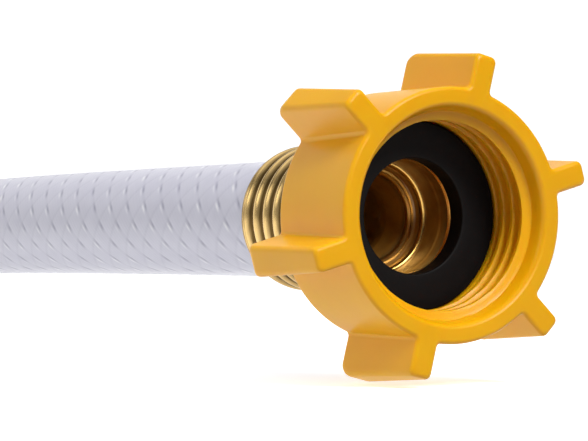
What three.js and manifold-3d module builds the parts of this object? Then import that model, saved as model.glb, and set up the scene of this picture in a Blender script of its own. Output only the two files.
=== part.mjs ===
// A short drinking-water hose lead: a six-winged plastic swivel nut on a brass tailpiece, a
// braid-reinforced hose, and a brass male fitting, each end held by a crimped brass ferrule.
// Millimetres. +X runs along the nut's axis and out of its mouth, +Z is up. The lead lies on the
// plane z = 0, and the origin is on that plane, under the middle of the nut and its ferrule.
import * as THREE from "three";
import { mergeVertices } from "three/addons/utils/BufferGeometryUtils.js";
import Module from "manifold-3d";

const wasm = await Module();
wasm.setup();

// Driving dimensions. "Depth" is the distance behind the nut's front rim, along its axis.
const roundSides = 36; // sides of every turned piece
const touchGap = 0.3; // between faces that bear on each other
const overallLength = 305; // nut rim to male end face
const threadPitch = 25.4 / 11.5; // the garden-hose thread, 11.5 turns to the inch
const pointsPerTurn = 6;
const crestHalfWidth = 0.12; // share of the pitch
const flankFoot = 0.42; // share of the pitch from the crest's middle to the root

const nutRadius = 16.6;
const nutEdge = 0.4;
const mouthRadius = 14.05;
const mouthStep = 0.6;
const leadInDepth = 2.2;
const femaleMajorRadius = 13.62;
const femaleMinorRadius = 12.35;
const lipThickness = 1.5;

const wingCount = 6;
const wingLean = THREE.MathUtils.degToRad(15.6); // of the lowest wing from straight down
const wingFrontTip = 21.4;
const wingBackTip = 22.3;
const wingFrontThickness = 3.3;
const wingBackThickness = 4.4;
const wingRound = 2.0;

const washerDepth = 9.65; // of its front face
const washerThickness = 3.1;
const washerHoleRadius = 7.64;
const washerSlip = 0.15; // past the thread's crests
const recessPlay = 0.5; // between the tailpiece's flange and the wall of the nut's recess
const flangeRadius = 12.4;
const flangeThickness = 1.6;
const neckOverlap = 1.63; // of the neck past the ferrule's bore
const swivelPlay = 0.4; // between the neck and the nut's lip
const endPlay = 0.35; // between the flange and the nut's lip
const neckBehindNut = 0.6;
const spigotLength = 3.2;
const ledgeThickness = 1.0; // between the spigot's end and the step in the waterway
const inletRadius = 7.9;
const inletChamfer = 0.7;
const rimRadius = 7.36; // where the waterway steps in to the stem's bore

const hoseOuterRadius = 8.27;
const hoseBoreRadius = 6.5;
const coverThickness = 0.5;
const linerThickness = 0.5;
const hoseLayerGap = 0.25;
const hoseSides = 12;
const hoseSteps = 14;

const ferruleWall = 0.75;
const ferruleLength = 21.4;
const ribHeight = 0.85;
const ribPitch = 2.7;
const ribCount = 7;
const stemRadius = 6.0;
const stemWall = 0.6;
const stemInset = 1.0; // of the stem's end inside the ferrule's mouth

const maleMajorRadius = 13.43;
const maleMinorRadius = 12.06;
const maleThreadLength = 13;
const reliefLength = 1.5;
const collarAcrossFlats = 30;
const collarWidth = 8;

// The hose's route, chosen by hand: share of the run from the nut's end, share of the drop.
const hoseRoute = [
  [0, 0], [0.04, 0], [0.08, 0], [0.14, 0], [0.21, 0], [0.28, 0.003], [0.35, 0.01],
  [0.42, 0.025], [0.48, 0.05], [0.54, 0.11], [0.6, 0.22], [0.66, 0.37], [0.72, 0.54], [0.78, 0.72],
  [0.84, 0.88], [0.89, 0.975], [0.93, 1], [1, 1],
];

// Depths that the pieces share.
const recessRadius = flangeRadius + recessPlay;
const flangeFront = washerDepth + washerThickness + touchGap;
const flangeBack = flangeFront + flangeThickness;
const lipFront = flangeBack + endPlay;
const nutLength = lipFront + lipThickness;
const neckEnd = nutLength + neckBehindNut;
const spigotEnd = neckEnd + spigotLength;
const ferruleFront = neckEnd + touchGap;
const ferruleMouth = ferruleFront + ferruleLength;
const ferruleBore = hoseOuterRadius + touchGap;
const neckRadius = ferruleBore + neckOverlap;
const hoseStart = spigotEnd + touchGap;

const collarFront = overallLength - maleThreadLength - reliefLength;
const collarBack = collarFront - collarWidth;
const maleNeckEnd = collarBack - neckBehindNut;
const maleFerruleFront = maleNeckEnd - touchGap;
const maleFerruleMouth = maleFerruleFront - ferruleLength;
const maleSpigotEnd = maleNeckEnd - spigotLength;
const hoseEnd = maleSpigotEnd - touchGap;

const rimX = ferruleMouth / 2;
const wingThicknessAt = (depth) =>
  THREE.MathUtils.lerp(wingFrontThickness, wingBackThickness, depth / nutLength);
const wingTipAt = (depth) => THREE.MathUtils.lerp(wingFrontTip, wingBackTip, depth / nutLength);
const wingRoundDepth = nutLength - wingRound; // where the rounding of the back corner starts
const axisHeight = wingTipAt(wingRoundDepth) * Math.cos(wingLean)
  + (wingThicknessAt(wingRoundDepth) / 2) * Math.sin(wingLean);
const maleAxisHeight = collarAcrossFlats / 2;

const yellowPlastic = new THREE.MeshStandardMaterial({ color: 0xeba62c, roughness: 0.42 });
const blackRubber = new THREE.MeshStandardMaterial({ color: 0x14100f, roughness: 0.7 });
const brass = new THREE.MeshStandardMaterial({ color: 0xc9a557, roughness: 0.25, metalness: 1 });
const clearPvc = new THREE.MeshStandardMaterial({ color: 0xdcdae6, roughness: 0.35 });
const whiteYarn = new THREE.MeshStandardMaterial({ color: 0xf4f4f6, roughness: 0.8 });

// A closed turned ring about the axis. The outline is a list of [radius, depth] points that goes
// round the section with the outer side towards growing depth.
function turned(outline) {
  const points = outline.map(([radius, depth]) => new THREE.Vector2(radius, depth));
  points.push(points[0].clone());
  return new THREE.LatheGeometry(points, roundSides).rotateZ(Math.PI / 2);
}

function solidOf(geometry) {
  const bare = geometry.clone();
  bare.deleteAttribute("normal");
  bare.deleteAttribute("uv");
  const merged = mergeVertices(bare, 1e-4);
  return new wasm.Manifold(new wasm.Mesh({
    numProp: 3,
    vertProperties: merged.attributes.position.array,
    triVerts: new Uint32Array(merged.index.array),
  }));
}

function geometryOf(solid) {
  const mesh = solid.getMesh();
  const geometry = new THREE.BufferGeometry();
  geometry.setAttribute("position", new THREE.BufferAttribute(mesh.vertProperties, 3));
  geometry.setIndex(new THREE.BufferAttribute(mesh.triVerts, 1));
  geometry.computeVertexNormals();
  return geometry;
}

const joined = (...geometries) =>
  geometryOf(geometries.map(solidOf).reduce((whole, piece) => whole.add(piece)));

// The outline's points along a threaded stretch, a few to each turn of the thread.
function threadPoints(radius, from, to) {
  const count = Math.round((Math.abs(to - from) / threadPitch) * pointsPerTurn);
  return Array.from({ length: count + 1 }, (_, i) =>
    [radius, THREE.MathUtils.lerp(from, to, i / count)]);
}

// Raises a right-hand thread on the points that a turned piece has at the thread's root radius,
// and lets it die away at both ends.
function threaded(geometry, { rootRadius, crestRadius, from, to }) {
  const position = geometry.attributes.position;
  const { clamp, euclideanModulo } = THREE.MathUtils;
  for (let i = 0; i < position.count; i++) {
    const [x, y, z] = [position.getX(i), position.getY(i), position.getZ(i)];
    const depth = -x;
    const radius = Math.hypot(y, z);
    if (Math.abs(radius - rootRadius) > 0.01 || depth <= from || depth >= to) continue;
    const turn = depth / threadPitch - Math.atan2(y, z) / (2 * Math.PI);
    const fromCrest = Math.abs(euclideanModulo(turn, 1) - 0.5);
    const flank = clamp((flankFoot - fromCrest) / (flankFoot - crestHalfWidth), 0, 1);
    const fade = clamp(Math.min(depth - from, to - depth) / (threadPitch / 2), 0, 1);
    const scale = 1 + (crestRadius / rootRadius - 1) * flank * fade;
    position.setY(i, y * scale);
    position.setZ(i, z * scale);
  }
  return geometry;
}

// A wing is cut to its side outline, then drafted: it is thicker at the back than at the front.
function wing(angle) {
  const side = new THREE.Shape();
  const foot = nutRadius - 1;
  side.moveTo(0, foot);
  side.lineTo(nutLength, foot);
  side.lineTo(nutLength, wingTipAt(wingRoundDepth) - wingRound);
  side.absarc(wingRoundDepth, wingTipAt(wingRoundDepth) - wingRound, wingRound, 0, Math.PI / 2);
  side.lineTo(0, wingFrontTip);
  side.closePath();
  const geometry = new THREE.ExtrudeGeometry(side, {
    depth: 1, bevelEnabled: false, curveSegments: 4,
  }).translate(0, 0, -0.5);
  const position = geometry.attributes.position;
  for (let i = 0; i < position.count; i++) {
    position.setZ(i, position.getZ(i) * wingThicknessAt(position.getX(i)));
  }
  const upright = new THREE.Matrix4().makeBasis(
    new THREE.Vector3(-1, 0, 0), new THREE.Vector3(0, 0, 1), new THREE.Vector3(0, 1, 0));
  return geometry.applyMatrix4(upright).rotateX(angle);
}

function swivelNut() {
  const threadEnd = washerDepth - 2 * touchGap;
  const barrel = turned([
    [nutRadius - nutEdge, 0],
    [nutRadius, nutEdge],
    [nutRadius, nutLength - nutEdge],
    [nutRadius - nutEdge, nutLength],
    [neckRadius + swivelPlay, nutLength],
    [neckRadius + swivelPlay, lipFront],
    [recessRadius, lipFront],
    [recessRadius, washerDepth - touchGap],
    ...threadPoints(femaleMajorRadius, threadEnd, leadInDepth),
    [mouthRadius - touchGap, mouthStep],
    [mouthRadius, 0],
  ]);
  threaded(barrel, {
    rootRadius: femaleMajorRadius,
    crestRadius: femaleMinorRadius,
    from: leadInDepth,
    to: threadEnd,
  });
  const wings = Array.from({ length: wingCount }, (_, i) =>
    wing(Math.PI - wingLean + (i * 2 * Math.PI) / wingCount));
  return joined(barrel, ...wings);
}

function sealingWasher() {
  const outer = femaleMinorRadius - washerSlip;
  const back = washerDepth + washerThickness;
  return turned([
    [outer, washerDepth], [outer, back], [washerHoleRadius, back], [washerHoleRadius, washerDepth],
  ]);
}

// The end of each brass fitting that the hose is crimped on: a spigot that fills the ferrule, and
// a stem that fills the hose. "Towards" is 1 where the hose lies at greater depth, or else -1.
function crimpEnd(neckFace, spigotFace, stemEnd, towards) {
  const bore = stemRadius - stemWall;
  const ledge = spigotFace - towards * ledgeThickness;
  return {
    outer: [
      [neckRadius, neckFace], [hoseOuterRadius, neckFace], [hoseOuterRadius, spigotFace],
      [stemRadius, spigotFace], [stemRadius, stemEnd],
    ],
    inner: [
      [bore, stemEnd], [bore, ledge], [rimRadius, ledge], [inletRadius, neckFace - towards * 2],
    ],
  };
}

function tailpiece() {
  const end = crimpEnd(neckEnd, spigotEnd, ferruleMouth - stemInset, 1);
  return turned([
    [flangeRadius, flangeFront],
    [flangeRadius, flangeBack],
    [neckRadius, flangeBack],
    ...end.outer,
    ...end.inner,
    [inletRadius, flangeFront + inletChamfer],
    [inletRadius + inletChamfer, flangeFront],
  ]);
}

// A thin sleeve crimped into rings as far as its mouth. Its front face bears on the fitting.
function ferrule(front, mouth) {
  const towards = Math.sign(mouth - front);
  const valley = ferruleBore + ferruleWall;
  const outside = [[valley, front]];
  for (let rib = ribCount; rib > 0; rib--) {
    outside.push([valley, mouth - towards * rib * ribPitch]);
    outside.push([valley + ribHeight, mouth - towards * (rib - 0.5) * ribPitch]);
  }
  const section = [...outside, [valley, mouth], [ferruleBore, mouth], [ferruleBore, front]];
  return turned(towards > 0 ? section : section.reverse());
}

function hexagonCollar() {
  const cornerRadius = collarAcrossFlats / 2 / Math.cos(Math.PI / 6);
  const outline = new THREE.Shape(ringOfPoints(6, cornerRadius, Math.PI / 6));
  outline.holes.push(new THREE.Path(ringOfPoints(roundSides, neckRadius - 1, 0).reverse()));
  return new THREE.ExtrudeGeometry(outline, { depth: collarWidth, bevelEnabled: false })
    .rotateY(-Math.PI / 2).translate(-collarBack, 0, 0);
}

function maleFitting() {
  const end = crimpEnd(maleNeckEnd, maleSpigotEnd, maleFerruleMouth + stemInset, -1);
  const collarMiddle = (collarBack + collarFront) / 2;
  const threadStart = collarFront + reliefLength;
  const threadEnd = overallLength - nutEdge;
  const body = turned([
    ...end.outer.reverse(),
    [neckRadius, collarMiddle],
    [maleMinorRadius, collarMiddle],
    ...threadPoints(maleMinorRadius, threadStart, threadEnd),
    [maleMinorRadius - nutEdge, overallLength],
    [inletRadius + inletChamfer, overallLength],
    [inletRadius, overallLength - inletChamfer],
    ...end.inner.reverse(),
  ]);
  threaded(body, {
    rootRadius: maleMinorRadius,
    crestRadius: maleMajorRadius,
    from: threadStart,
    to: threadEnd,
  });
  return joined(body, hexagonCollar());
}

function ringOfPoints(count, radius, firstAngle) {
  return Array.from({ length: count }, (_, i) => {
    const angle = firstAngle + (i * 2 * Math.PI) / count;
    return new THREE.Vector2(radius * Math.cos(angle), radius * Math.sin(angle));
  });
}

// One layer of the hose's wall, the whole way between the two spigots.
function hoseLayer(innerRadius, outerRadius) {
  const section = new THREE.Shape(ringOfPoints(hoseSides, outerRadius, 0));
  section.holes.push(new THREE.Path(ringOfPoints(hoseSides, innerRadius, 0).reverse()));
  const route = new THREE.CatmullRomCurve3(hoseRoute.map(([run, drop]) => new THREE.Vector3(
    rimX - THREE.MathUtils.lerp(hoseStart, hoseEnd, run),
    0,
    THREE.MathUtils.lerp(axisHeight, maleAxisHeight, drop),
  )));
  return new THREE.ExtrudeGeometry(section, {
    steps: hoseSteps, extrudePath: route, bevelEnabled: false,
  });
}

function place(group, name, geometry, material) {
  const mesh = new THREE.Mesh(geometry, material);
  mesh.name = name;
  group.add(mesh);
}

const nutEnd = new THREE.Group();
nutEnd.position.set(rimX, 0, axisHeight);
place(nutEnd, "swivel_nut", swivelNut(), yellowPlastic);
place(nutEnd, "sealing_washer", sealingWasher(), blackRubber);
place(nutEnd, "tailpiece", tailpiece(), brass);
place(nutEnd, "ferrule", ferrule(ferruleFront, ferruleMouth), brass);

const maleEnd = new THREE.Group();
maleEnd.position.set(rimX, 0, maleAxisHeight);
place(maleEnd, "male_ferrule", ferrule(maleFerruleFront, maleFerruleMouth), brass);
place(maleEnd, "male_fitting", maleFitting(), brass);

const hose = new THREE.Group();
const linerRadius = hoseBoreRadius + linerThickness;
const coverBore = hoseOuterRadius - coverThickness;
place(hose, "hose_liner", hoseLayer(hoseBoreRadius, linerRadius), clearPvc);
place(hose, "hose_braid", hoseLayer(linerRadius + hoseLayerGap, coverBore - hoseLayerGap), whiteYarn);
place(hose, "hose_cover", hoseLayer(coverBore, hoseOuterRadius), clearPvc);

const hoseLead = new THREE.Group();
hoseLead.add(nutEnd, hose, maleEnd);
export default hoseLead;
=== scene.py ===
# %% [markdown]
# # A short drinking-water hose lead
#
# The object is the end of a drinking-water hose lead: a yellow plastic swivel nut with six wings,
# a black rubber washer inside it, a brass tailpiece that the nut turns on, a crimped brass
# ferrule, and a white braid-reinforced hose that runs back to a brass male fitting.
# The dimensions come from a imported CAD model, which is loaded first and never moved. Every piece
# made here stands in the place of one CAD node and rides on the body that node belongs to.

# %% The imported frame
import math

import bpy
import numpy as np
from mathutils import Matrix, Vector


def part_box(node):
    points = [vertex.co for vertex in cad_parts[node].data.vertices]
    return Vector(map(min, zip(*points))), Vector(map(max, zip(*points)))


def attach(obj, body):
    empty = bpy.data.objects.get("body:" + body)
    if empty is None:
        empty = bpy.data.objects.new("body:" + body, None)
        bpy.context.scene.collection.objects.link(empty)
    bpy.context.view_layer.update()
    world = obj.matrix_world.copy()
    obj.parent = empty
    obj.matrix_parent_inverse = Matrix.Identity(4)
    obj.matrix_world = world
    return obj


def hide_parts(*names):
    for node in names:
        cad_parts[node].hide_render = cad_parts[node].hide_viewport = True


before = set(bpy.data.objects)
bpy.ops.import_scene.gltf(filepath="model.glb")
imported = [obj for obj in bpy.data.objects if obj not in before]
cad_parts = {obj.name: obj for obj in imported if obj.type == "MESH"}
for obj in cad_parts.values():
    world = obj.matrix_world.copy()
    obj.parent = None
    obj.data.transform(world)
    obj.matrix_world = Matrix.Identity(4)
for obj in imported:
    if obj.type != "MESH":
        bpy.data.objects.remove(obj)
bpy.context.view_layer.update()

# %% [markdown]
# Everything turned or moulded here is round about one of two level axes: the nut's axis, and the
# male fitting's axis, which lies a little lower because that end rests on the flats of its
# hexagon. Depths are measured backwards from the nut's front rim in millimetres, as a maker would
# measure them with a depth gauge, so both axes are read from the CAD nodes' boxes.

# %% The two axes and where they start
MM = 0.001
nut_low, nut_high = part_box("swivel_nut")
male_low, male_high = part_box("male_fitting")
ferrule_low, ferrule_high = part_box("ferrule")
rim_x = nut_high.x
nut_axis_z = (nut_low.z + nut_high.z) / 2
male_axis_z = (male_low.z + male_high.z) / 2
nut_length = (nut_high.x - nut_low.x) / MM
overall_length = (rim_x - male_low.x) / MM
ferrule_front = (rim_x - ferrule_high.x) / MM
ferrule_mouth = (rim_x - ferrule_low.x) / MM
print(f"nut {nut_length:.2f} mm long, ferrule from {ferrule_front:.2f} to {ferrule_mouth:.2f} mm deep")
print(f"axes {nut_axis_z / MM:.2f} and {male_axis_z / MM:.2f} mm above the floor")

# %% [markdown]
# The camera comes first, because the free length of hose is judged from it. It stands level with
# the nut's axis, about a third of a metre from the nut's rim, and looks along a line 30 degrees
# round from that axis, so the mouth of the nut shows and the hose runs away to the left. A long
# lens keeps the nut's circles true. The three direction vectors are made square to each other
# before they turn the camera.

# %% The camera
rim_centre = Vector((rim_x, 0, nut_axis_z))
from_rim_to_camera = Vector((284.17, -188.8, -3.3)) * MM
towards_view = Vector((-0.865, 0.502, 0.008)).normalized()
upwards = Vector((0.0095, 0, 1))
upwards = (upwards - towards_view * upwards.dot(towards_view)).normalized()
rightwards = towards_view.cross(upwards)

camera_data = bpy.data.cameras.new("product_camera")
camera_data.sensor_fit = "HORIZONTAL"
camera_data.sensor_width = 36
camera_data.lens = 162.37
camera_data.clip_start = 0.01
camera_data.clip_end = 20
camera = bpy.data.objects.new("product_camera", camera_data)
turn = Matrix((rightwards, upwards, -towards_view)).transposed().to_4x4()
camera.matrix_world = Matrix.Translation(rim_centre + from_rim_to_camera) @ turn
bpy.context.scene.collection.objects.link(camera)
bpy.context.scene.camera = camera
print("camera", [round(v, 4) for v in camera.matrix_world.translation])

# %% [markdown]
# Each round piece is one closed skin: rows of points run round its section, and columns run round
# its axis. Modifiers such as Screw could spin an outline, but a skin whose points are laid out one
# by one lets one piece change from round to winged or threaded along its depth. Sharp folds are
# marked by angle, and weighted normals keep the flat faces flat beside their small rounded edges.

# %% A closed skin from rows and columns of points
def skin(name, points, values=None, sharp=38):
    """Makes a mesh object from a (rows, columns, 3) array in metres that closes both ways."""
    rows, columns = points.shape[:2]
    index = np.arange(rows * columns).reshape(rows, columns)
    beside = np.roll(index, -1, axis=1)
    above, above_beside = np.roll(index, -1, axis=0), np.roll(beside, -1, axis=0)
    faces = np.stack([index, beside, above_beside, above], axis=-1).reshape(-1, 4)
    flat = points.reshape(-1, 3)
    corners = flat[faces]
    across = np.cross(corners[:, 2] - corners[:, 0], corners[:, 3] - corners[:, 1])
    if (corners.mean(axis=1) * across).sum() < 0:
        faces = faces[:, ::-1]
    mesh = bpy.data.meshes.new(name)
    mesh.from_pydata(flat.tolist(), [], faces.tolist())
    mesh.shade_smooth()
    mesh.set_sharp_from_angle(angle=math.radians(sharp))
    for key, value in (values or {}).items():
        layer = mesh.attributes.new(key, "FLOAT", "POINT")
        layer.data.foreach_set("value", np.broadcast_to(value, (rows, columns)).reshape(-1).astype(float))
    piece = bpy.data.objects.new(name, mesh)
    bpy.context.scene.collection.objects.link(piece)
    piece.modifiers.new("weighted_normals", "WEIGHTED_NORMAL").keep_sharp = True
    print(f"{name}: {len(flat)} points")
    return piece


# %% [markdown]
# A turner breaks every edge, and a mould leaves every edge round, so an outline is written as
# corners that each say how big their rounding is. The helper swaps each such corner for a short
# arc that is tangent to both of its sides.

# %% Rounded corners in an outline
def rounded(outline, steps=5):
    """Turns (radius, depth, rounding) corners into a closed list of (radius, depth) points."""
    made = []
    for i, corner in enumerate(outline):
        here = np.array(corner[:2], float)
        rounding = corner[2] if len(corner) > 2 else 0
        if not rounding:
            made.append(here)
            continue
        before = np.array(outline[i - 1][:2], float) - here
        after = np.array(outline[(i + 1) % len(outline)][:2], float) - here
        before, after = before / np.linalg.norm(before), after / np.linalg.norm(after)
        half = math.acos(np.clip(before @ after, -1, 1)) / 2
        middle = here + (before + after) / np.linalg.norm(before + after) * rounding / math.sin(half)
        start = here + before * rounding / math.tan(half) - middle
        end = here + after * rounding / math.tan(half) - middle
        sweep = math.pi - 2 * half
        for t in np.linspace(0, 1, steps + 1):
            spoke = start * math.sin((1 - t) * sweep) + end * math.sin(t * sweep)
            made.append(middle + spoke / math.sin(sweep))
    return np.array(made)


# %% A piece turned about one of the axes
def turned(name, outline, axis_z, sides, swell=None, mark=None):
    """Spins a closed (radius, depth) outline. "swell" may move the radii, "mark" adds attributes."""
    angle = np.linspace(0, 2 * math.pi, sides, endpoint=False)[None, :]
    radius = np.repeat(outline[:, :1], sides, axis=1)
    depth = np.repeat(outline[:, 1:], sides, axis=1)
    if swell:
        radius = swell(radius, depth, angle)
    across, up = radius * np.cos(angle) * MM, radius * np.sin(angle) * MM
    points = np.stack([rim_x - depth * MM, across, axis_z + up], -1)
    return skin(name, points, mark(outline) if mark else None)


# %% [markdown]
# The hose is a free length of PVC tube, 16.5 mm across and stiff, with a connector at its far
# end. Its route is the same set of stations as in the CAD model: straight out of the
# tailpiece, a long easy fall to the height of the male fitting, and straight into that. A curve
# through the stations gives its centre line, and each of the wall's layers is a tube about it.

# %% The hose's centre line
hose_start_depth, hose_end_depth = 20.6, 278.4
hose_stations = [  # share of the run, share of the fall
    (0, 0), (0.04, 0), (0.08, 0), (0.14, 0), (0.21, 0), (0.28, 0.003), (0.35, 0.01), (0.42, 0.025),
    (0.48, 0.05), (0.54, 0.11), (0.6, 0.22), (0.66, 0.37), (0.72, 0.54), (0.78, 0.72), (0.84, 0.88),
    (0.89, 0.975), (0.93, 1), (1, 1),
]
run, drop = np.array(hose_stations).T
station_depth = hose_start_depth + run * (hose_end_depth - hose_start_depth)
station_z = nut_axis_z / MM + drop * (male_axis_z - nut_axis_z) / MM


def centre_height(depth):
    """Height of the centre line in millimetres: a smooth cubic through the stations."""
    slope = np.gradient(station_z, station_depth)
    left = np.clip(np.searchsorted(station_depth, depth, side="right") - 1, 0, len(station_depth) - 2)
    width = station_depth[left + 1] - station_depth[left]
    t = (depth - station_depth[left]) / width
    return (
        (2 * t**3 - 3 * t**2 + 1) * station_z[left] + (t**3 - 2 * t**2 + t) * width * slope[left]
        + (3 * t**2 - 2 * t**3) * station_z[left + 1] + (t**3 - t**2) * width * slope[left + 1]
    )


fine = np.linspace(hose_start_depth, hose_end_depth, 2000)
run_along = np.concatenate([[0], np.cumsum(np.hypot(np.diff(fine), np.diff(centre_height(fine))))])
hose_length = run_along[-1]
print(f"hose {hose_length:.1f} mm long")


# %% [markdown]
# The jacket is clear PVC over a braid of polyester yarn, and the yarn prints through as a relief:
# two sets of bundles wind round the hose in opposite directions at about 45 degrees and pass over
# and under each other. The relief is real displacement of the jacket's skin, a tenth of a
# millimetre from groove to crown, because a bump map alone would leave the light on the grooves
# too even. Beside each groove the skin stands up in a narrow lip. The winding counts, the grooves
# and the lips are kept as attributes, so that the material can follow them.

# %% The braid's two sets of yarns
braid_pitch = 5.8  # mm along the hose from one yarn bundle to the next
bundles = 9  # each way round
crown_rise, groove_fall, lip_rise = 0.03, 0.07, 0.03  # mm
groove_width, crossing_width, lip_width = 0.06, 0.05, 0.05  # shares of a bundle
lip_offset = 0.13  # from the groove's middle to the lip's, a share of a bundle


def braid(along, angle):
    """Counts across the bundles that wind one way and those that wind the other way."""
    around = bundles * angle / (2 * math.pi)
    return along / braid_pitch + around, along / braid_pitch - around


def edge_of(count, width):
    """1 on the line between two bundles, falling to 0 within a share of a bundle."""
    off = np.abs(count - np.round(count))
    return np.exp(-((off / width) ** 2))


def braid_relief(along, angle):
    """Height of the jacket's skin in millimetres, how deep in a groove, and how much on its lip."""
    first, second = braid(along, angle)
    over = 0.5 + 0.5 * np.cos(2 * math.pi * (second + 0.25))  # 1 where the first set lies on top
    under = 1 - over
    grooves = (
        edge_of(first, groove_width) * (0.15 + 0.85 * over**2)
        + 0.35 * edge_of(second, crossing_width) * under
    )
    lips = (
        edge_of(first - lip_offset, lip_width) * over**2
        + 0.3 * edge_of(second + lip_offset, lip_width) * under
    )
    crown = 0.5 - 0.5 * np.cos(2 * math.pi * first)
    height = crown_rise * crown - groove_fall * grooves + lip_rise * lips
    return height, np.clip(grooves, 0, 1), np.clip(lips, 0, 1)


# %% A layer of the hose's wall
def hose_layer(name, inner, outer, rows, columns, relief=None):
    """A tube about the centre line, with flat ends and, if asked, the braid's relief."""
    along = np.linspace(0, hose_length, rows)
    depth = np.interp(along, run_along, fine)
    height = centre_height(depth)
    slope = np.gradient(height, depth)
    lean = np.arctan(slope)
    angle = np.linspace(0, 2 * math.pi, columns, endpoint=False)
    flat = np.zeros((rows, columns))
    lift, groove, lip = relief(along[:, None], angle[None, :]) if relief else (flat, flat, flat)
    sides = []
    for radius, order in ((outer + lift, 1), (inner + flat, -1)):
        up = radius * np.sin(angle)
        points = np.stack([
            rim_x - (depth[:, None] - up * np.sin(lean)[:, None]) * MM,
            radius * np.cos(angle) * MM,
            (height[:, None] + up * np.cos(lean)[:, None]) * MM,
        ], -1)
        sides.append(points[::order])
    first, second = braid(along[:, None], angle[None, :])
    values = {"groove": groove, "lip": lip, "first_winding": first, "second_winding": second}
    values = {key: np.concatenate([value, value[::-1]]) for key, value in values.items()}
    return skin(name, np.concatenate(sides), values, sharp=60)


# %% The three layers, from the outside in
clear_jacket = hose_layer("clear_jacket", inner=7.75, outer=8.22, rows=860, columns=168, relief=braid_relief)
yarn_sleeve = hose_layer("yarn_sleeve", inner=7.26, outer=7.5, rows=200, columns=72)
inner_tube = hose_layer("inner_tube", inner=6.5, outer=7.0, rows=120, columns=72)

# %% [markdown]
# The nut is one moulding in yellow plastic. Its section changes with depth: the six wings are
# drafted, thicker at the back than at the front, so that the part slides out of its mould, and
# their feet run into the barrel with a small fillet. A boolean of boxes and a cylinder gives
# neither draft nor fillets, so the outline is worked out afresh at each depth, always with
# the same number of points, and the outlines are skinned together.

# %% The outline of one wing
nut_radius, wing_count = 16.6, 6
wing_lean = math.radians(15.6)
wing_front_tip, wing_back_tip = 21.4, 22.3
wing_front_half, wing_back_half = 1.65, 2.2
edge_round, wing_back_round = 0.6, 2.0
foot_fillet, tip_round = 0.6, 0.8


def arc(centre, radius, start, end, steps):
    """Points on an arc between two angles."""
    turn = np.linspace(start, end, steps)
    return np.stack([centre[0] + radius * np.cos(turn), centre[1] + radius * np.sin(turn)], -1)


def wing_side(barrel, half, tip, fillet, corner):
    """Half of one wing's outline, from its foot on the barrel to the middle of its tip."""
    lean = math.asin((half + fillet) / (barrel + fillet))
    centre = ((barrel + fillet) * math.cos(lean), (barrel + fillet) * math.sin(lean))
    foot = arc(centre, fillet, math.pi + lean, 1.5 * math.pi, 7)
    flank = [((1 - t) * centre[0] + t * (tip - corner), half) for t in (0.25, 0.5, 0.75)]
    top = arc((tip - corner, half - corner), corner, math.pi / 2, 0, 7)
    return np.concatenate([foot, flank, top, [(tip, (half - corner) * 0.5), (tip, 0)]]), lean


# %% The nut's outline at one depth
def nut_section(depth):
    """The nut's outline at one depth as (across, up) points in millimetres."""
    ends = max(edge_round - depth, depth - (nut_length - edge_round), 0)
    inset = edge_round - math.sqrt(max(edge_round**2 - ends**2, 0))
    back = max(depth - (nut_length - wing_back_round), 0)
    tip_drop = wing_back_round - math.sqrt(max(wing_back_round**2 - back**2, 0))
    half = wing_front_half + (wing_back_half - wing_front_half) * depth / nut_length - inset
    tip = wing_front_tip + (wing_back_tip - wing_front_tip) * depth / nut_length - max(inset, tip_drop)
    side, lean = wing_side(nut_radius - inset, half, tip, foot_fillet + inset, tip_round)
    outline = []
    for k in range(wing_count):
        middle = wing_lean + k * 2 * math.pi / wing_count
        next_middle = middle + 2 * math.pi / wing_count
        spin = np.array([[math.cos(middle), -math.sin(middle)], [math.sin(middle), math.cos(middle)]])
        wing = np.concatenate([side * (1, -1), side[-2::-1]])
        barrel = arc((0, 0), nut_radius - inset, middle + lean, next_middle - lean, 20)
        outline += [wing @ spin.T, barrel[1:-1]]
    return np.concatenate(outline)


# %% Outlines all down the nut, closest together where its edges are rounded
end_steps = edge_round * (1 - np.cos(np.linspace(0, math.pi / 2, 6)))
back_steps = wing_back_round * (1 - np.sin(np.linspace(0, math.pi / 2, 12)))
depths_outside = np.unique(np.round(np.concatenate([
    end_steps, np.linspace(edge_round, nut_length - wing_back_round, 9),
    nut_length - back_steps, nut_length - end_steps,
]), 4))
outside = [(nut_section(d), d) for d in depths_outside]
outside_columns = len(outside[0][0])
print(f"nut outline: {outside_columns} points at {len(depths_outside)} depths")

# %% [markdown]
# The nut's inside is round, but for its thread: the garden-hose thread, 11.5 turns to the inch
# and right-handed, with a blunt rounded crest as plastic threads have. Each inner row takes its
# angles from the front outline, so the front face joins up point for point. The thread starts
# behind a plain lead-in, and dies away in front of the recess that holds the washer.

# %% The nut's inside thread
thread_pitch = 25.4 / 11.5
ridge_foot, ridge_flank = 0.36, 0.23  # shares of a pitch, from the crest's middle
female_root, female_crest = 13.62, 12.38
first_crest, rises_over, dies_over = 2.95, 0.55, 0.5
lead_in, thread_end, washer_front = 2.15, 9.1, 9.65
recess_radius, lip_radius, lip_front = 12.9, 10.6, 15.0
angle_of_column = np.unwrap(np.arctan2(outside[0][0][:, 1], outside[0][0][:, 0]))


def ridge(depth, angle, crest_depth):
    """A right-hand thread's height at a point, from 0 at its root to 1 at its crest."""
    phase = (depth - crest_depth) / thread_pitch + angle / (2 * math.pi)
    off = np.abs(phase - np.round(phase))
    slope = np.clip((ridge_foot - off) / ridge_flank, 0, 1)
    return slope * slope * (3 - 2 * slope)


def female_radius(depth):
    """The radius of each column at one depth of the nut's thread."""
    fade = np.clip((depth - lead_in) / rises_over, 0, 1) * np.clip((thread_end - depth) / dies_over, 0, 1)
    return female_root - (female_root - female_crest) * fade * ridge(depth, angle_of_column, first_crest)


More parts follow.
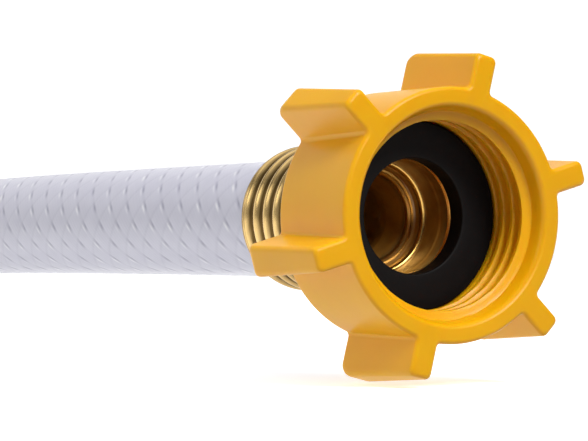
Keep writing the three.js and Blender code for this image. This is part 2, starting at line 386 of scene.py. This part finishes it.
# %% The nut, from its back lip to the rounded edge of its mouth, as (radius, depth) pairs
inside = [(lip_radius + 0.25, nut_length), (lip_radius, nut_length - 0.25), (lip_radius, lip_front + 0.2),
          (lip_radius + 0.2, lip_front), (recess_radius - 0.3, lip_front), (recess_radius, lip_front - 0.3),
          (recess_radius, washer_front - 0.1), (recess_radius + 0.2, washer_front - 0.35),
          (female_root - 0.1, washer_front - 0.42)]
mouth = [(13.66, 1.9), (13.72, 1.5), (13.78, 1.2), (13.82, 1.08), (13.86, 0.92), (13.92, 0.74), (14.0, 0.56),
         (14.1, 0.4), (14.23, 0.24), (14.38, 0.11), (14.54, 0.03), (14.7, 0.0)]
inner_rows = [(np.full(outside_columns, r), d) for r, d in inside]
inner_rows += [(female_radius(d), d) for d in np.arange(thread_end, lead_in - 0.01, -0.1)]
inner_rows += [(np.full(outside_columns, r), d) for r, d in mouth]
nut_rows = outside + [
    (np.column_stack([r * np.cos(angle_of_column), r * np.sin(angle_of_column)]), d) for r, d in inner_rows
]
nut_points = np.array([np.column_stack([np.full(outside_columns, d), section]) for section, d in nut_rows])
winged_nut = skin("winged_nut", nut_points * (-MM, MM, MM) + (rim_x, 0, nut_axis_z))

# %% [markdown]
# The washer is a plain black rubber ring cut or moulded to sit on the tailpiece's flange. Rubber
# edges are soft, so each corner has about 0.3 mm of rounding, which is what catches the thin
# glint round its hole. It is soft enough to squeeze past the thread's crests, so it is
# drawn half a millimetre wider all round than the rigid ring in the CAD model, and nearly fills
# its recess.

# %% The washer
washer_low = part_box("sealing_washer")[0]
washer_back = (rim_x - washer_low.x) / MM
washer_outer, washer_hole = 12.7, 7.64
washer_dish = washer_front + 0.03
print(f"washer {2 * washer_outer:.1f} mm across and {washer_back - washer_front:.1f} mm thick")
rubber_washer = turned("rubber_washer", rounded([
    (washer_hole, washer_back, 0.25), (washer_hole, washer_front, 0.3), (9.2, washer_dish),
    (11.0, washer_dish), (washer_outer, washer_front, 0.35), (washer_outer, washer_back, 0.25),
]), nut_axis_z, sides=240)

# %% [markdown]
# The tailpiece is turned from brass bar. Its flange carries the washer, its neck is what the nut
# spins on, and its spigot and thin stem hold the hose. The waterway steps in from a wide
# inlet to a polished rim and then to the stem's bore, and those steps are the rings that show
# deep inside the nut. One closed outline gives all of it, with small turned-off corners.

# %% Where shade is painted on the tailpiece
waterway_radius, waterway_front = 7.95, 13.1
shade_front, shade_grows_over = 13.2, 1.5
bright_rim_depth, bright_rim_width = 18.95, 0.65


def waterway_painted_shade(outline):
    """How much shade is painted: none outside, more down the bore, none on its bright rim."""
    radius, depth = outline.T
    # Painted shade: the waterway's brass is coloured browner the deeper it lies, but its rim is left bright.
    stem_outside = (depth > 20.1) & (radius > 5.95) & (radius < 6.45)
    in_waterway = (radius < waterway_radius) & (depth > waterway_front) & ~stem_outside
    deep = np.clip((depth - shade_front) / shade_grows_over, 0, 1)
    on_rim = (radius > 7.0) & (radius < 7.7)
    rim_left_bright = np.exp(-(((depth - bright_rim_depth) / bright_rim_width) ** 2)) * on_rim
    return {"groove": (in_waterway * deep * (1 - rim_left_bright))[:, None]}


# %% The brass tailpiece, down its outside and back up its waterway
flange_radius, neck_radius, spigot_radius = 12.4, 10.2, 8.27
flange_front, flange_back, neck_end, spigot_end = 13.05, 14.65, 17.1, 20.3
stem_end = ferrule_mouth - 1.0
tailpiece_outside = [
    (flange_radius, flange_front, 0.15), (flange_radius, flange_back, 0.15), (neck_radius, flange_back),
    (neck_radius, neck_end, 0.15), (spigot_radius, neck_end), (spigot_radius, spigot_end, 0.15),
    (6.4, spigot_end), (6.4, 22.3), (6.0, 22.8), (6.0, stem_end - 0.6), (5.8, stem_end, 0.08),
]
tailpiece_waterway = [
    (5.45, stem_end, 0.08), (5.4, stem_end - 0.3), (5.4, 27.4), (5.15, 26.4, 0.5), (5.15, 24.8, 0.5),
    (5.45, 23.8, 0.4), (5.75, 22.2, 0.3), (6.05, 20.8, 0.2), (6.8, 20.2, 0.1), (6.95, 20.1, 0.05),
    (7.05, 19.8, 0.1), (7.2, 18.75, 0.47), (7.72, 18.75), (7.75, 15.6, 0.1), (7.9, 15.3, 0.12),
    (7.9, 13.7, 0.2), (8.5, flange_front, 0.12),
]
turned_tailpiece = turned("turned_tailpiece", rounded(tailpiece_outside + tailpiece_waterway), nut_axis_z,
                          sides=200, mark=waterway_painted_shade)


# %% [markdown]
# The ferrule is a thin brass sleeve. It slips over the end of the hose and is squeezed in a
# crimping die, which rolls it into rings 2.7 mm apart and leaves its mouth curled in a lip. Its
# outline is a smooth wave, sharper in the grooves than on the crests, drawn point by point.
# A "groove" attribute marks how deep each point lies, for the painted shade in the grooves.

# %% A ferrule's outline
ring_pitch, ring_height, ring_count = 2.7, 0.85, 7
valley, sleeve_bore = 9.32, 8.6
curl_middle, curl_width = 0.75, 0.55  # mm back from the mouth


def ferrule_outline(front, mouth):
    """The outline of a sleeve that runs from its front to its mouth."""
    towards = math.copysign(1, mouth - front)
    length = abs(mouth - front)
    back_from_mouth = np.linspace(0.35, length - 0.25, 230)
    wave = 0.5 + 0.5 * np.cos(2 * math.pi * (back_from_mouth / ring_pitch - 0.5))
    wave = np.where(back_from_mouth < ring_count * ring_pitch, wave**0.8, 0)
    curl = np.exp(-(((back_from_mouth - curl_middle) / curl_width) ** 2))
    wave = np.maximum(np.where(back_from_mouth < ring_pitch * 0.5, 0.25 * wave, wave), 0.85 * curl)
    outer = np.stack([valley + ring_height * wave, mouth - towards * back_from_mouth], -1)[::-1]
    mouth_edge = [
        (valley + 0.55, mouth - towards * 0.12), (valley + 0.3, mouth), (sleeve_bore + 0.2, mouth),
        (sleeve_bore, mouth - towards * 0.2),
    ]
    front_edge = [(sleeve_bore, front + towards * 0.1), (sleeve_bore + 0.1, front), (valley - 0.1, front)]
    return np.concatenate([outer, mouth_edge, front_edge])


def groove_depth(outline):
    """How deep each point lies between the crests."""
    return {"groove": np.clip((valley + ring_height - outline[:, :1]) / ring_height, 0, 1)}


# %% The crimped ferrules
far_ferrule_low, far_ferrule_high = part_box("male_ferrule")
far_front, far_mouth = (rim_x - far_ferrule_low.x) / MM, (rim_x - far_ferrule_high.x) / MM
crimped_ferrule = turned("crimped_ferrule", ferrule_outline(ferrule_front, ferrule_mouth), nut_axis_z,
                         sides=200, mark=groove_depth)
far_crimped_ferrule = turned("far_crimped_ferrule", ferrule_outline(far_front, far_mouth), male_axis_z,
                             sides=160, mark=groove_depth)

# %% [markdown]
# The far end is a brass male fitting: a hexagon for a spanner, and a 3/4 inch garden-hose thread.
# That thread is the mate of the nut's, so the same ridge serves for both, and it fades out at both
# ends as a cut thread's chamfer and run-out do. The fitting is made from hexagonal bar and its
# corners are turned off in a lathe, so each corner ends in a curve where a cone meets the flats:
# the radius is the smaller of the flat's and the cone's.

# %% The male fitting's hexagon and thread
male_root, male_crest = 12.06, 13.43
collar_back, collar_front = 282.5, 290.5
half_flats, turned_corners = 15.0, 17.1
cone_start, cone_slope = half_flats + 0.35, 1.75
thread_start = collar_front + 1.5
depth_of_hex = np.concatenate([
    collar_back + 1.2 * (1 - np.cos(np.linspace(0, math.pi / 2, 9))),
    np.linspace(collar_back + 1.6, collar_front - 1.6, 4),
    collar_front - 1.2 * (1 - np.cos(np.linspace(math.pi / 2, 0, 9))),
])


def swollen(radius, depth, angle):
    """Raises the thread on the root, and turns the hexagon's rows from round to six-sided."""
    on_root = np.abs(radius - male_root) < 1e-6
    to_front = overall_length - 0.25 - depth
    fade = np.clip(depth - thread_start, 0, 1) * np.clip(to_front / 1.6, 0, 1)
    crest = radius + (male_crest - male_root) * fade * ridge(depth, angle, thread_start)
    on_hex = radius > male_crest + 0.5
    from_flat = np.abs(angle % (math.pi / 3) - math.pi / 6)
    flat = half_flats / np.cos(from_flat)
    cone = cone_start + cone_slope * np.minimum(depth - collar_back, collar_front - depth)
    hexagon = np.minimum(flat, np.minimum(cone, turned_corners))
    return np.where(on_root, crest, np.where(on_hex, hexagon, radius))


# %% The male fitting, from the end of its stem over the thread and back down its bore
male_stem_end = (rim_x - male_high.x) / MM
print("male stem ends at", round(male_stem_end, 2), "mm")
thread_depths = np.linspace(collar_front + 0.8, overall_length - 0.35, 118)
male_outline = np.concatenate([
    rounded([
        (6.0, male_stem_end + 0.3), (6.0, 278.7), (spigot_radius, 278.7, 0.15), (spigot_radius, 281.9),
        (neck_radius, 281.9, 0.15), (neck_radius, collar_back),
    ]),
    np.column_stack([np.full(len(depth_of_hex), half_flats), depth_of_hex]),
    [(13.0, collar_front), (13.0, collar_front + 0.01), (male_root, collar_front + 0.5)],
    np.column_stack([np.full(len(thread_depths), male_root), thread_depths]),
    rounded([
        (male_root - 0.35, overall_length, 0.05), (8.6, overall_length, 0.1),
        (7.9, overall_length - 0.7, 0.2), (7.9, 279.0), (7.36, 279.6), (5.4, 279.5, 0.1),
        (5.4, male_stem_end, 0.08),
    ])[1:],
])
brass_male_fitting = turned("brass_male_fitting", male_outline, male_axis_z, sides=240, swell=swollen)

# %% [markdown]
# One function turns a colour written as sRGB hex into the linear values that shaders take, and
# one adds a node with its settings and its links. Every finish below is built from these two, a
# Principled shader at its heart. A noise texture's scale counts features in a metre, so 1700
# gives a grain of 0.6 mm.

# %% Helpers for the finishes
def colour(code):
    """Linear RGBA of an sRGB hex value."""
    parts = [int(code[i:i + 2], 16) / 255 for i in (1, 3, 5)]
    return [p / 12.92 if p <= 0.04045 else ((p + 0.055) / 1.055) ** 2.4 for p in parts] + [1]


def add(finish, kind, settings=None, links=None, **options):
    """Adds one node. Settings are values of its inputs, links are outputs that feed its inputs."""
    node = finish.node_tree.nodes.new(kind)
    for key, value in options.items():
        setattr(node, key, value)
    for key, value in (settings or {}).items():
        node.inputs[key].default_value = value
    for key, source in (links or {}).items():
        finish.node_tree.links.new(source, node.inputs[key])
    return node


def finish_of(name, links, **settings):
    """A material with one Principled shader. "links" is a function that returns what feeds it."""
    finish = bpy.data.materials.new(name)
    finish.use_nodes = True
    finish.node_tree.nodes.clear()
    sockets = {key.replace("_", " "): value for key, value in settings.items()}
    shader = add(finish, "ShaderNodeBsdfPrincipled", sockets, links(finish))
    add(finish, "ShaderNodeOutputMaterial", links={"Surface": shader.outputs[0]})
    return finish


def ramp_between(finish, source, low, high, first, second):
    """Colours from one to another as a value rises from low to high."""
    ramp = add(finish, "ShaderNodeValToRGB", links={"Fac": source})
    for stop, position, code in zip(ramp.color_ramp.elements, (low, high), (first, second)):
        stop.position, stop.color = position, colour(code)
    return ramp.outputs["Color"]


# %% [markdown]
# The nut is injection-moulded polypropylene or ABS, coloured through. Light goes a little way
# into it, which is why its shaded sides stay a warm orange instead of going grey, so the shader
# has some subsurface scattering. The mould gives it a fine satin skin: faint grain about 0.3 mm
# across, drawn twice as coarse as real so that it shows, and slow drifts in tone about 11 mm
# across, where the melt flowed.

# %% Moulded yellow plastic
def plastic_links(finish):
    place = add(finish, "ShaderNodeTexCoord").outputs["Object"]
    drift = add(finish, "ShaderNodeTexNoise", {"Scale": 90.0, "Detail": 3.0}, {"Vector": place})
    grain = add(finish, "ShaderNodeTexNoise", {"Scale": 1700.0, "Detail": 2.0}, {"Vector": place})
    skin_bump = add(finish, "ShaderNodeBump", {"Strength": 0.12, "Distance": 0.00012},
                    {"Height": grain.outputs["Fac"]})
    wavy = add(finish, "ShaderNodeBump", {"Strength": 0.25, "Distance": 0.0002},
               {"Height": drift.outputs["Fac"], "Normal": skin_bump.outputs["Normal"]})
    satin = add(finish, "ShaderNodeMapRange", {"To Min": 0.3, "To Max": 0.42},
                {"Value": drift.outputs["Fac"]})
    tone = ramp_between(finish, drift.outputs["Fac"], 0.3, 0.7, "#E8A804", "#EEAF08")
    return {"Base Color": tone, "Normal": wavy.outputs["Normal"], "Roughness": satin.outputs["Result"]}


moulded_plastic = finish_of("moulded_yellow_plastic", plastic_links, IOR=1.5, Specular_IOR_Level=0.24,
                            Subsurface_Weight=0.3, Subsurface_Radius=(1.0, 0.35, 0.08),
                            Subsurface_Scale=0.0015)

# %% [markdown]
# The washer is moulded EPDM rubber, black and close to matt. Its skin has a fine chalky grain,
# about half a millimetre across, and patches a few millimetres across that are more or less
# rubbed, so its roughness wanders a little and its highlights break up.

# %% Black rubber
def rubber_links(finish):
    place = add(finish, "ShaderNodeTexCoord").outputs["Object"]
    grain = add(finish, "ShaderNodeTexNoise", {"Scale": 2200.0, "Detail": 3.0}, {"Vector": place})
    bump = add(finish, "ShaderNodeBump", {"Strength": 0.3, "Distance": 0.00008},
               {"Height": grain.outputs["Fac"]})
    wear = add(finish, "ShaderNodeTexNoise", {"Scale": 300.0, "Detail": 4.0}, {"Vector": place})
    matt = add(finish, "ShaderNodeMapRange", {"To Min": 0.5, "To Max": 0.68}, {"Value": wear.outputs["Fac"]})
    tone = ramp_between(finish, wear.outputs["Fac"], 0.35, 0.7, "#060404", "#0A0707")
    return {"Base Color": tone, "Normal": bump.outputs["Normal"], "Roughness": matt.outputs["Result"]}


black_rubber = finish_of("moulded_black_rubber", rubber_links, IOR=1.5, Specular_IOR_Level=0.12)

# %% [markdown]
# Brass cut on a lathe carries the tool's fine rings, a tenth of a millimetre apart, drawn here
# twice as coarse so that they show. They stretch the highlights across the turning direction. Its
# tone and roughness wander in patches about 4 mm across. The bore is bright where the tool last
# passed, and deeper inside it is painted browner as shade, with a low metallic value where the
# painted shade is thickest. Brass is a metal, so elsewhere its base colour is its reflection.

# %% Turned brass
def brass_links(finish):
    place = add(finish, "ShaderNodeTexCoord").outputs["Object"]
    parts = add(finish, "ShaderNodeSeparateXYZ", links={"Vector": place})
    rings = add(finish, "ShaderNodeTexNoise", {"Scale": 5200.0, "Detail": 2.0, "W": 0.0},
                {"W": parts.outputs["X"]}, noise_dimensions="1D")
    stain = add(finish, "ShaderNodeTexNoise", {"Scale": 260.0, "Detail": 4.0}, {"Vector": place})
    bump = add(finish, "ShaderNodeBump", {"Strength": 0.35, "Distance": 0.00002},
               {"Height": rings.outputs["Fac"]})
    matt = add(finish, "ShaderNodeMapRange", {"To Min": 0.16, "To Max": 0.3}, {"Value": stain.outputs["Fac"]})
    unshaded_brass = ramp_between(finish, stain.outputs["Fac"], 0.3, 0.75, "#DDB362", "#BC8E44")
    shaded_brown = ramp_between(finish, stain.outputs["Fac"], 0.3, 0.75, "#BE8C3C", "#8E6024")
    # Painted shade: where the groove attribute marks the deep waterway, the brass turns brown and less
    # metallic.
    painted_shade = add(finish, "ShaderNodeAttribute", attribute_name="groove").outputs["Fac"]
    tone = add(finish, "ShaderNodeMix", links={0: painted_shade, 6: unshaded_brass, 7: shaded_brown}, data_type="RGBA")
    metallic_out_of_shade = add(finish, "ShaderNodeMapRange", {"To Min": 1.0, "To Max": 0.1}, {"Value": painted_shade})
    return {"Base Color": tone.outputs[2], "Normal": bump.outputs["Normal"],
            "Roughness": matt.outputs["Result"], "Metallic": metallic_out_of_shade.outputs["Result"]}


turned_brass = finish_of("turned_brass", brass_links)

# %% [markdown]
# The ferrule's brass is thin strip that has been annealed and squeezed. Its crests are plain
# bright brass, and the grooves are painted a dull dark olive as shade, so the mesh's own groove
# attribute mixes the two. Scratches a quarter of a millimetre wide and 2.4 mm long run round it,
# from the die, and darken it a little more.

# %% Crimped brass
def crimped_links(finish):
    place = add(finish, "ShaderNodeTexCoord").outputs["Object"]
    groove = add(finish, "ShaderNodeAttribute", attribute_name="groove").outputs["Fac"]
    drawn_out = add(finish, "ShaderNodeMapping", {"Scale": (9.0, 1.0, 1.0)}, {"Vector": place})
    scratches = add(finish, "ShaderNodeTexNoise", {"Scale": 420.0, "Detail": 5.0},
                    {"Vector": drawn_out.outputs["Vector"]})
    film = add(finish, "ShaderNodeMath", {1: 0.35}, {0: scratches.outputs["Fac"]}, operation="MULTIPLY")
    groove_shade_and_scratches = add(finish, "ShaderNodeMath", links={0: groove, 1: film.outputs[0]}, operation="ADD")
    # Painted shade: the deeper a point lies in a groove, the darker olive it is coloured; the scratches add
    # real wear.
    tone = ramp_between(finish, groove_shade_and_scratches.outputs[0], 0.22, 0.78, "#DDBB7C", "#5A4626")
    matt = add(finish, "ShaderNodeMapRange", {"To Min": 0.2, "To Max": 0.34}, {"Value": groove_shade_and_scratches.outputs[0]})
    bump = add(finish, "ShaderNodeBump", {"Strength": 0.3, "Distance": 0.00004},
               {"Height": scratches.outputs["Fac"]})
    return {"Base Color": tone, "Normal": bump.outputs["Normal"], "Roughness": matt.outputs["Result"]}


crimped_brass = finish_of("crimped_brass", crimped_links, Metallic=1.0)

# %% [markdown]
# The hose's jacket is clear, faintly violet PVC, extruded over white yarn. Between bundles the
# yarn lies deeper and the jacket looks darker and bluer, and along each bundle run its yarns,
# about 0.7 mm apart, as fine streaks. The mesh's attributes place them all: the streaks are a
# wave in the winding count, the groove attribute darkens the lines between bundles, and the lip
# attribute paints pale patches on the raised edge beside them, a painted highlight for the glint
# of the clear skin. The mottle is 3 mm across and the painted highlight patches are 6 mm long,
# so no two bundles look the same.

# %% Clear PVC over yarn
yarns_per_bundle = 6  # a bundle is 4.1 mm across
bundle_waves = 2 * math.pi * yarns_per_bundle


def jacket_links(finish):
    groove = add(finish, "ShaderNodeAttribute", attribute_name="groove").outputs["Fac"]
    first = add(finish, "ShaderNodeAttribute", attribute_name="first_winding").outputs["Fac"]
    place = add(finish, "ShaderNodeTexCoord").outputs["Object"]
    mottle = add(finish, "ShaderNodeTexNoise", {"Scale": 350.0, "Detail": 3.0}, {"Vector": place})
    turns = add(finish, "ShaderNodeMath", {1: bundle_waves}, {0: first}, operation="MULTIPLY")
    wander = add(finish, "ShaderNodeMath", {1: 5.0}, {0: mottle.outputs["Fac"], 2: turns.outputs[0]},
                 operation="MULTIPLY_ADD")
    yarns = add(finish, "ShaderNodeMath", links={0: wander.outputs[0]}, operation="SINE")
    bump = add(finish, "ShaderNodeBump", {"Strength": 0.12, "Distance": 0.00006},
               {"Height": yarns.outputs[0]})
    shade = add(finish, "ShaderNodeMath", {1: 0.3}, {0: mottle.outputs["Fac"], 2: groove},
                operation="MULTIPLY_ADD")
    between = ramp_between(finish, shade.outputs[0], 0.1, 1.0, "#C9C8D7", "#9A98AE")
    # Painted highlight: the base colour turns paler on patches of the lips, standing in for the glints of the
    # clear skin.
    lip = add(finish, "ShaderNodeAttribute", attribute_name="lip").outputs["Fac"]
    patches = add(finish, "ShaderNodeTexNoise", {"Scale": 160.0, "Detail": 2.0}, {"Vector": place})
    painted_highlight_patches = add(finish, "ShaderNodeMapRange", {"From Min": 0.38, "From Max": 0.62},
                {"Value": patches.outputs["Fac"]})
    glint = add(finish, "ShaderNodeMath", links={0: lip, 1: painted_highlight_patches.outputs["Result"]}, operation="MULTIPLY")
    tone = add(finish, "ShaderNodeMix", {7: colour("#EEEEF4")}, {0: glint.outputs[0], 6: between},
               data_type="RGBA")
    return {"Base Color": tone.outputs[2], "Normal": bump.outputs["Normal"]}


clear_pvc = finish_of("clear_pvc_over_yarn", jacket_links, Roughness=0.3, IOR=1.53, Subsurface_Weight=0.2,
                      Subsurface_Radius=(1.0, 0.95, 1.1), Subsurface_Scale=0.0012)

# %% [markdown]
# The layers under the jacket hardly show, but they are real: polyester yarn, white and dull, in
# a close criss-cross, and a smooth clear liner that the water touches, with flow marks 5 mm long.

# %% Yarn and liner
def yarn_links(finish):
    ways = [add(finish, "ShaderNodeAttribute", attribute_name=key).outputs["Fac"]
            for key in ("first_winding", "second_winding")]
    waves = []
    for way in ways:
        turns = add(finish, "ShaderNodeMath", {1: bundle_waves}, {0: way}, operation="MULTIPLY")
        waves.append(add(finish, "ShaderNodeMath", links={0: turns.outputs[0]}, operation="SINE").outputs[0])
    weave = add(finish, "ShaderNodeMath", links={0: waves[0], 1: waves[1]}, operation="MAXIMUM")
    bump = add(finish, "ShaderNodeBump", {"Strength": 0.8, "Distance": 0.0001}, {"Height": weave.outputs[0]})
    return {"Base Color": ramp_between(finish, weave.outputs[0], 0, 1, "#CFCFD6", "#F6F6F8"),
            "Normal": bump.outputs["Normal"]}


def liner_links(finish):
    place = add(finish, "ShaderNodeTexCoord").outputs["Object"]
    flow = add(finish, "ShaderNodeTexNoise", {"Scale": 200.0}, {"Vector": place})
    return {"Base Color": ramp_between(finish, flow.outputs["Fac"], 0.3, 0.7, "#D6D6DF", "#E4E4EA")}


polyester_yarn = finish_of("braided_polyester_yarn", yarn_links, Roughness=0.8)
liner_pvc = finish_of("extruded_pvc_liner", liner_links, Roughness=0.25, IOR=1.53)

# %% [markdown]
# Each row names a piece, its finish, the body it rides on, the CAD node it stands for, which is
# hidden, and a slot name that nothing here uses. The nut turns and the washer lifts out, so they
# have bodies of their own.
# Everything else belongs to the hose's body.

# %% Finishes, bodies and the nodes they stand for
for piece, finish, body, node_name, slot in (
    (winged_nut, moulded_plastic, "nut", "swivel_nut", "nut_plastic"),
    (rubber_washer, black_rubber, "washer", "sealing_washer", "washer_rubber"),
    (turned_tailpiece, turned_brass, "hose_body", "tailpiece", "brass"),
    (crimped_ferrule, crimped_brass, "hose_body", "ferrule", "brass"),
    (clear_jacket, clear_pvc, "hose_body", "hose_cover", "hose_pvc"),
    (yarn_sleeve, polyester_yarn, "hose_body", "hose_braid", "hose_yarn"),
    (inner_tube, liner_pvc, "hose_body", "hose_liner", "hose_pvc"),
    (far_crimped_ferrule, crimped_brass, "hose_body", "male_ferrule", "brass"),
    (brass_male_fitting, turned_brass, "hose_body", "male_fitting", "brass"),
):
    piece.data.materials.append(finish)
    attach(piece, body)
    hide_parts(node_name)

# %% [markdown]
# The lead lies on a plain white floor that glows a little, as a light table does, so that it
# burns out to white and only a breath of shadow is left under the nut.

# %% The floor
def floor_links(finish):
    place = add(finish, "ShaderNodeTexCoord").outputs["Object"]
    mottle = add(finish, "ShaderNodeTexNoise", {"Scale": 6.0}, {"Vector": place})
    return {"Base Color": ramp_between(finish, mottle.outputs["Fac"], 0.3, 0.7, "#F4F4F4", "#F7F7F7")}


floor_reach, floor_height = 4, -0.0002
floor_corners = [
    (x * floor_reach, y * floor_reach, floor_height) for x, y in ((-1, -1), (1, -1), (1, 1), (-1, 1))
]
floor_mesh = bpy.data.meshes.new("floor")
floor_mesh.from_pydata(floor_corners, [], [(0, 1, 2, 3)])
floor = bpy.data.objects.new("floor", floor_mesh)
bpy.context.scene.collection.objects.link(floor)
floor_mesh.materials.append(finish_of("white_light_table", floor_links, Roughness=0.7,
                                      Emission_Color=(1, 1, 1, 1), Emission_Strength=0.52))
floor.visible_diffuse = False

# %% [markdown]
# The light is a white room seen from inside: its walls are white up to shoulder height, dark
# above that, and white again overhead. A dark card stands in front of the nut's mouth and a grey
# one beside it, so that the rubber stays black and the metal has something dark to reflect. A
# large soft box lights the front rim from above and a weaker one lights the side. The bounce from
# a glowing floor would wash out the nut's underside, so diffuse rays pass through the floor and
# meet the room's dimmer white below.

# %% The white room and its cards
towards_dark_card, towards_grey_card = (0.83, 0.55, 0.1), (0.6, -0.8, 0.0)
world = bpy.data.worlds.new("white_room")
bpy.context.scene.world = world
world.use_nodes = True
world.node_tree.nodes.clear()


def fades(source, low, high, first, second):
    """A brightness that goes from one value to another as a direction's height or turn rises."""
    ends = {"From Min": low, "From Max": high, "To Min": first, "To Max": second}
    return add(world, "ShaderNodeMapRange", ends, {"Value": source}).outputs["Result"]


def how_much_towards(card):
    """How much a direction faces a card: 1 straight at it, falling to -1 behind."""
    facing = add(world, "ShaderNodeVectorMath", {1: card}, {0: direction}, operation="DOT_PRODUCT")
    return facing.outputs["Value"]


direction = add(world, "ShaderNodeTexCoord").outputs["Generated"]
height = add(world, "ShaderNodeSeparateXYZ", links={"Vector": direction}).outputs["Z"]
walls = fades(height, 0.42, 0.6, 1.12, 0.12)
overhead = fades(height, 0.65, 0.9, 0.0, 1.25)
below = fades(height, -0.15, -0.03, 0.6, 0.0)
upper = add(world, "ShaderNodeMath", links={0: walls, 1: overhead}, operation="ADD").outputs[0]
room = add(world, "ShaderNodeMath", links={0: upper, 1: below}, operation="ADD").outputs[0]
dark_card = fades(how_much_towards(towards_dark_card), 0.0, 0.55, 1.0, 0.05)
grey_card = fades(how_much_towards(towards_grey_card), 0.1, 0.8, 1.0, 0.35)
cards = add(world, "ShaderNodeMath", links={0: grey_card, 1: dark_card}, operation="MULTIPLY").outputs[0]
brightness = add(world, "ShaderNodeMath", links={0: room, 1: cards}, operation="MULTIPLY").outputs[0]
glow = add(world, "ShaderNodeBackground", {"Color": (1, 1, 1, 1)}, {"Strength": brightness})
add(world, "ShaderNodeOutputWorld", links={"Surface": glow.outputs[0]})


# %% The two soft boxes
def soft_box(name, place, aim, size, power):
    """An area lamp that faces a point. Its size is in metres and its power in watts."""
    lamp_data = bpy.data.lights.new(name, "AREA")
    lamp_data.shape, lamp_data.energy = "RECTANGLE", power
    lamp_data.size, lamp_data.size_y = size
    lamp = bpy.data.objects.new(name, lamp_data)
    lamp.location = place
    lamp.rotation_euler = (Vector(aim) - Vector(place)).to_track_quat("-Z", "Y").to_euler()
    bpy.context.scene.collection.objects.link(lamp)


soft_box("key_box", (0.85, 0.1, 0.75), rim_centre, size=(0.5, 0.5), power=13.5)
soft_box("side_box", (0.1, -0.9, 0.5), rim_centre, size=(0.5, 0.4), power=1.3)
bpy.context.scene.view_settings.view_transform = "Standard"
bpy.context.scene.view_settings.look = "None"
